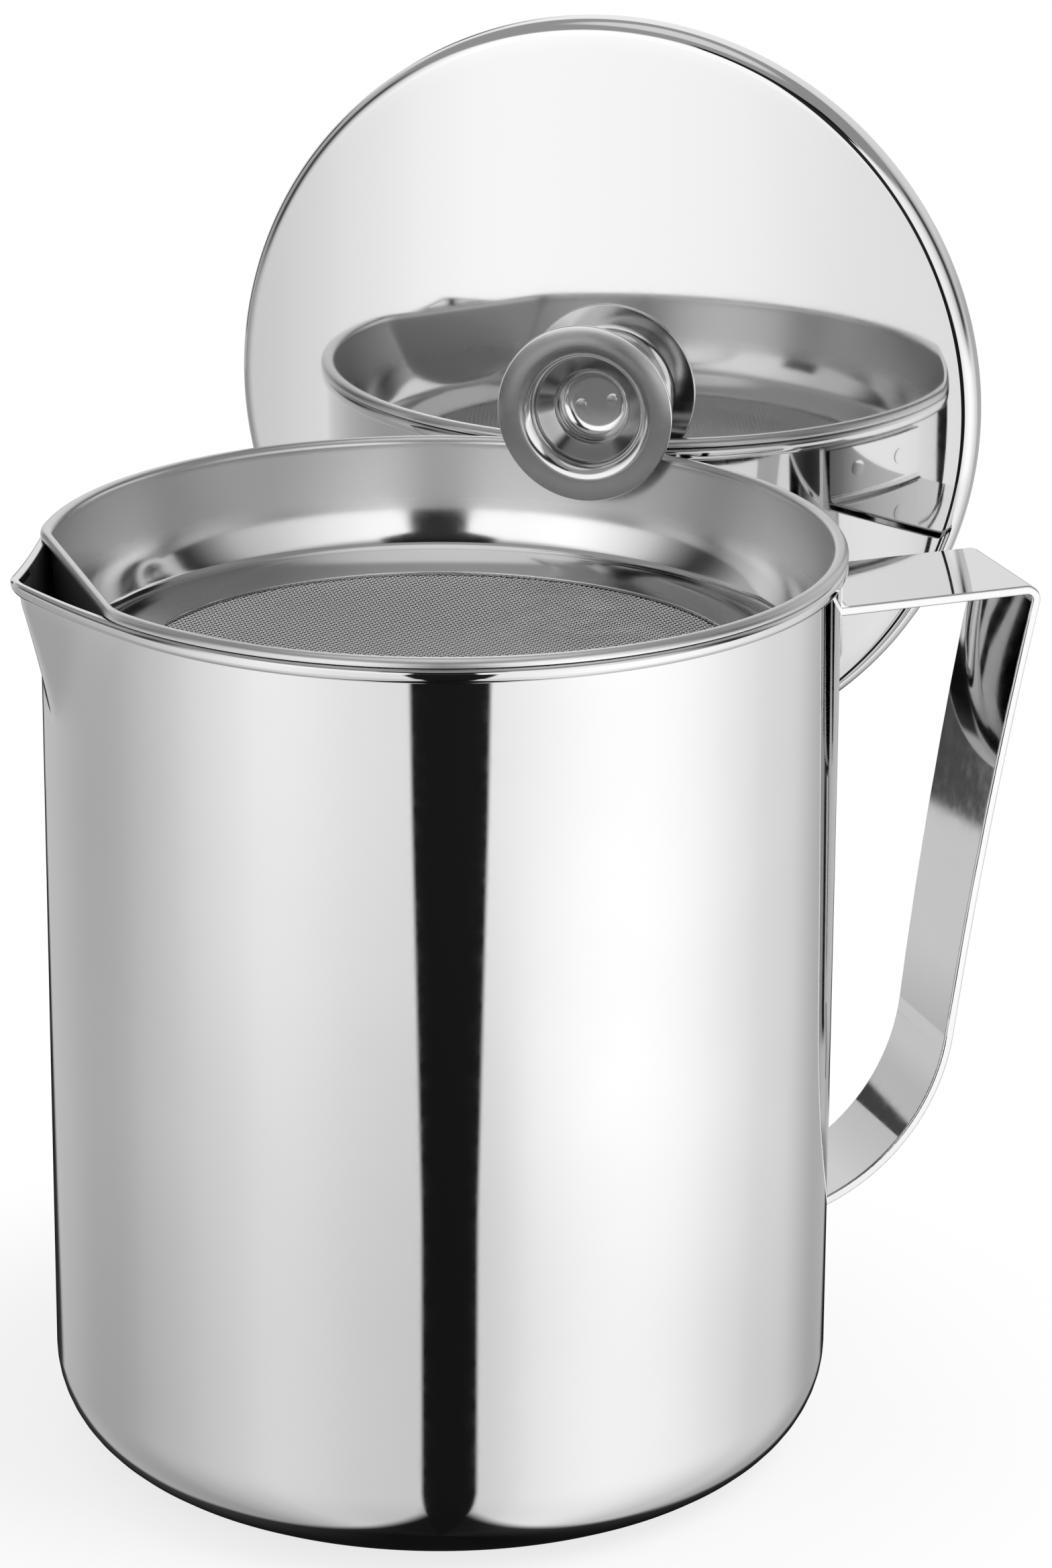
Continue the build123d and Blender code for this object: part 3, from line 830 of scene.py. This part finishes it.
def hung():
    """Move of a lid piece from the jug's axis to its place behind the rim, face to the jug."""
    centre, facing = lid_place()
    up = Vector((0.0, 0.0, 1.0))
    turn = Matrix((up, facing.cross(up), facing)).transposed().to_4x4()
    return Matrix.Translation(centre * MM) @ turn


def hang(shape):
    """Moves a turned lid piece to its place."""
    bmesh.ops.transform(shape, verts=shape.verts, matrix=hung())
    bmesh.ops.recalc_face_normals(shape, faces=shape.faces)


def crown_cover(shape):
    """Lets the cover's face fall from its middle to its edge, and the skirt with the edge."""
    crown_round = (COVER_RADIUS**2 + COVER_CROWN**2) / (2 * COVER_CROWN)
    for vert in shape.verts:
        across = vert.co.x / MM
        fall = crown_round - sqrt(crown_round**2 - across**2)
        below_face = vert.co.z < -2 * COVER_WALL * MM
        vert.co.z -= MM * (COVER_CROWN if below_face else fall)


def cover_sheet(material):
    """The crowned cover with its rounded edge, skirt and turned-in hem."""
    inner = COVER_RADIUS - COVER_WALL
    hem = COVER_RADIUS - COVER_HEM
    shape = section(
        [
            (0.0, 0.0), (COVER_RADIUS, 0.0), (COVER_RADIUS, -COVER_SKIRT), (hem, -COVER_SKIRT),
            (hem, COVER_WALL - COVER_SKIRT), (inner, COVER_WALL - COVER_SKIRT),
            (inner, -COVER_WALL), (0.0, -COVER_WALL),
        ],
        [
            COVER_EDGE_ROUND, COVER_HEM_ROUND, 0, 0, COVER_HEM_ROUND - COVER_WALL,
            COVER_EDGE_ROUND - COVER_WALL,
        ],
        COVER_ROUND,
    )
    divide(shape, 0.0, COVER_RADIUS, CROWN_PIECES, steep=False)
    crown_cover(shape)
    turn_round(shape, TURN_STEPS)
    hang(shape)
    return finish_piece("cover_sheet", shape, "lid", [material])


def knob_sheet(material):
    """The pressed cup of the knob with its wide flange."""
    shape = section(KNOB_INSIDE + KNOB_OUTSIDE, KNOB_ROUNDS, KNOB_ROUND)
    turn_round(shape, KNOB_STEPS)
    hang(shape)
    return finish_piece("knob_sheet", shape, "lid", [material])


# ---- Weld marks -------------------------------------------------------------------------
def weld_marks(name, radius, height, places, body, material):
    """Low domes where the spot welds show, one at each of the places."""
    shape = section(
        [(0.0, height), (radius, height), (radius, 0.0), (0.0, 0.0)],
        [MARK_ROUND * height, 0], MARK_ROUND_SEGMENTS,
    )
    turn_round(shape, MARK_STEPS)
    first = shape.verts[:] + shape.edges[:] + shape.faces[:]
    for place in places[1:]:
        twin = bmesh.ops.duplicate(shape, geom=first)["geom"]
        verts = [item for item in twin if isinstance(item, bmesh.types.BMVert)]
        bmesh.ops.transform(shape, verts=verts, matrix=place)
    verts = [item for item in first if isinstance(item, bmesh.types.BMVert)]
    bmesh.ops.transform(shape, verts=verts, matrix=places[0])
    return finish_piece(name, shape, body, [material])


def knob_marks(material):
    """The two weld marks in the knob's cup."""
    along = Vector((cos(PIP_TURN), sin(PIP_TURN), 0.0)) * PIP_SPREAD
    lift = Vector((0.0, 0.0, PIP_BASE))
    places = [hung() @ Matrix.Translation((lift + along * side) * MM) for side in [1, -1]]
    return weld_marks("knob_weld_marks", PIP_RADIUS, PIP_HEIGHT, places, "lid", material)


def handle_marks(material):
    """The weld marks on the two flanges of the handle, nearly flush."""
    low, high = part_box("handle_spot_welds")
    turn = WELD_SPREAD / FLANGE_RADIUS
    places = [
        Matrix.Rotation(turn * side, 4, "Z")
        @ Matrix.Translation((FLANGE_RADIUS * MM, 0.0, height))
        @ Matrix.Rotation(pi / 2, 4, "Y")
        for height in [low.z + WELD_RADIUS * MM, high.z - WELD_RADIUS * MM]
        for side in [1, -1]
    ]
    return weld_marks("handle_weld_marks", WELD_RADIUS, WELD_HEIGHT, places, "jug", material)


# ---- Woven mesh -------------------------------------------------------------------------
MESH_PITCH = 0.635 * MM            # 40 wires to the inch
WIRE_RADIUS = 0.108 * MM
WIRE_SIDES = 4
MESH_TURN = radians(-6.0)          # the weave's direction from the handle's


def crimp(verts, height, half_count):
    """Lifts a wire over one crossing and lowers it under the next, by that height."""
    for vert in verts:
        crossing = round(vert.co.x / MESH_PITCH) + half_count
        vert.co.z += height * (-1) ** crossing


def woven_wires(name, turn, material):
    """All the wires of one direction, crimped over and under the wires that cross them."""
    low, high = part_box("strainer_mesh")
    reach = (high.x - low.x) / 2
    middle = (low.z + high.z) / 2
    half_count = int(reach / MESH_PITCH) + 1
    shape = bmesh.new()
    start = Matrix.Translation((-half_count * MESH_PITCH, -half_count * MESH_PITCH, 0.0))
    bmesh.ops.create_circle(
        shape, segments=WIRE_SIDES, radius=WIRE_RADIUS,
        matrix=start @ Matrix.Rotation(pi / 2, 4, "Y"),
    )
    bmesh.ops.spin(
        shape, geom=shape.verts[:] + shape.edges[:], cent=(0, 0, 0), axis=(0, 0, 1), angle=0.0,
        dvec=(MESH_PITCH, 0.0, 0.0), steps=2 * half_count, use_merge=False,
    )
    crimp(shape.verts, WIRE_RADIUS, half_count)
    # The next wire is crimped the other way, and the pair is repeated across the disc
    twin = bmesh.ops.duplicate(shape, geom=shape.verts[:] + shape.edges[:] + shape.faces[:])
    twin_verts = [item for item in twin["geom"] if isinstance(item, bmesh.types.BMVert)]
    crimp(twin_verts, -2 * WIRE_RADIUS, half_count)
    bmesh.ops.translate(shape, verts=twin_verts, vec=(0.0, MESH_PITCH, 0.0))
    bmesh.ops.spin(
        shape, geom=shape.verts[:] + shape.edges[:] + shape.faces[:], cent=(0, 0, 0),
        axis=(0, 0, 1), angle=0.0, dvec=(0.0, 2 * MESH_PITCH, 0.0), steps=half_count,
        use_duplicate=True,
    )
    # Only what lies within the clamped edge of the disc stays
    limit = reach - MESH_PITCH
    outside = [vert for vert in shape.verts if vert.co.x**2 + vert.co.y**2 > limit**2]
    bmesh.ops.delete(shape, geom=outside, context="VERTS")
    loose = [vert for vert in shape.verts if not vert.link_faces]
    bmesh.ops.delete(shape, geom=loose, context="VERTS")
    ends = [edge for edge in shape.edges if edge.is_boundary]
    bmesh.ops.holes_fill(shape, edges=ends, sides=WIRE_SIDES)
    turned = Matrix.Rotation(turn, 3, "Z")
    bmesh.ops.rotate(shape, verts=shape.verts, cent=(0, 0, 0), matrix=turned)
    bmesh.ops.translate(shape, verts=shape.verts, vec=(0.0, 0.0, middle))
    bmesh.ops.recalc_face_normals(shape, faces=shape.faces)
    wires = smooth_object(name, shape, [material])
    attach(wires, "strainer")
    return wires


# ---- The scene --------------------------------------------------------------------------
place_camera()
build_world()
build_lamp()
build_floor()

bright = even_steel("polished_steel", MIRROR_GREY, MIRROR_POLISH, MIRROR_GRAIN)
# The jug's inside: rougher steel whose darker grey is painted shade
hollow_painted_shade = even_steel("hollow_steel_painted_shade", HOLLOW_PAINTED_SHADE_GREY, HOLLOW_POLISH, HOLLOW_GRAIN)
# The bowl's steel carries a painted reflection in its tone, lighter in the middle
satin_with_painted_reflection = bowl_steel_with_painted_reflection()
lid_middle, lid_facing = lid_place()
lid_across = Vector((0.0, 0.0, 1.0)).cross(lid_facing)
lid_start = lid_middle.dot(lid_across)
# The lid's cover carries a painted reflection in its tone, across its face
lid_painted_reflection = toned_steel(
    "lid_painted_reflection", COVER_POLISH, PRESSED_GRAIN, "DOT_PRODUCT", lid_across,
    lid_start - COVER_REACH, lid_start + COVER_REACH, COVER_PAINTED_REFLECTION_TONES,
)
# The knob and its weld marks carry painted shade in a ring round the cup
knob_painted_shade = toned_steel(
    "knob_painted_shade", KNOB_POLISH, PRESSED_GRAIN, "DISTANCE", lid_middle * MM,
    0.0, KNOB_REACH, KNOB_PAINTED_SHADE_TONES,
)
# One wire steel in two greys: painted light on the warp, painted shade on the weft
warp_painted_light = even_steel("warp_steel_painted_light", WARP_PAINTED_LIGHT_GREY, WIRE_POLISH, WIRE_GRAIN)
weft_painted_shade = even_steel("weft_steel_painted_shade", WEFT_PAINTED_SHADE_GREY, WIRE_POLISH, WIRE_GRAIN)
for part in ["jug_body", "jug_handle", "lid_cover"]:
    dress(part, bright)
# These parts take the bowl's steel, with its painted reflection
for part in [
    "strainer_bowl", "mesh_clamp_ring", "lid_knob", "knob_spot_welds", "handle_spot_welds",
]:
    dress(part, satin_with_painted_reflection)

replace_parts(jug_sheet(bright, hollow_painted_shade), "jug_body")
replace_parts(bowl_sheet(satin_with_painted_reflection), "strainer_bowl")
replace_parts(cover_sheet(lid_painted_reflection), "lid_cover")
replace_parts(knob_sheet(knob_painted_shade), "lid_knob")
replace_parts(knob_marks(knob_painted_shade), "knob_spot_welds")
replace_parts(handle_marks(bright), "handle_spot_welds")
warp = woven_wires("mesh_warp_wires", MESH_TURN, warp_painted_light)
weft = woven_wires("mesh_weft_wires", MESH_TURN + pi / 2, weft_painted_shade)
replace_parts(warp, "strainer_mesh")
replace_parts(weft, "strainer_mesh")

scene.view_settings.view_transform = "Standard"
